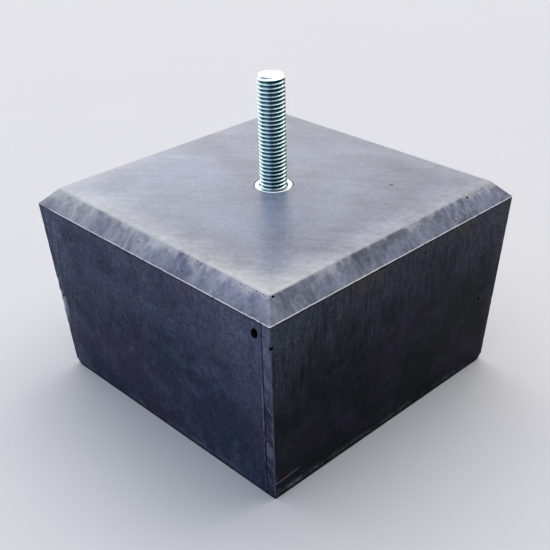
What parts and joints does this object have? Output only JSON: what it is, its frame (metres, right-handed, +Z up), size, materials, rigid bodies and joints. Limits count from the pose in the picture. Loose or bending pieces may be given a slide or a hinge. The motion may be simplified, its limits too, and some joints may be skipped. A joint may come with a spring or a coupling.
{
  "type": "post base block",
  "caption": "Square dark cast concrete base block with walls drawn in towards the foot, a chamfered top edge and a threaded steel stud standing in a flush ring.",
  "frame": {"origin": "middle of the underside, which is the bottom centre of the whole part", "axes": "+Z up along the stud, X and Y square to the walls; the corner with the air void and the mould seam is at +X, -Y"},
  "size_m": [0.15, 0.15, 0.1436],
  "materials": {
    "dark_concrete": "cast, smooth and slightly glossy on top, matt on the walls",
    "bright_steel": "faced flat and bright",
    "zinc_plated_steel": "bright zinc plating on a rolled thread"
  },
  "bodies": {
    "root": {"block": "dark_concrete", "collar": "bright_steel", "stud": "zinc_plated_steel"}
  },
  "joints": []
}
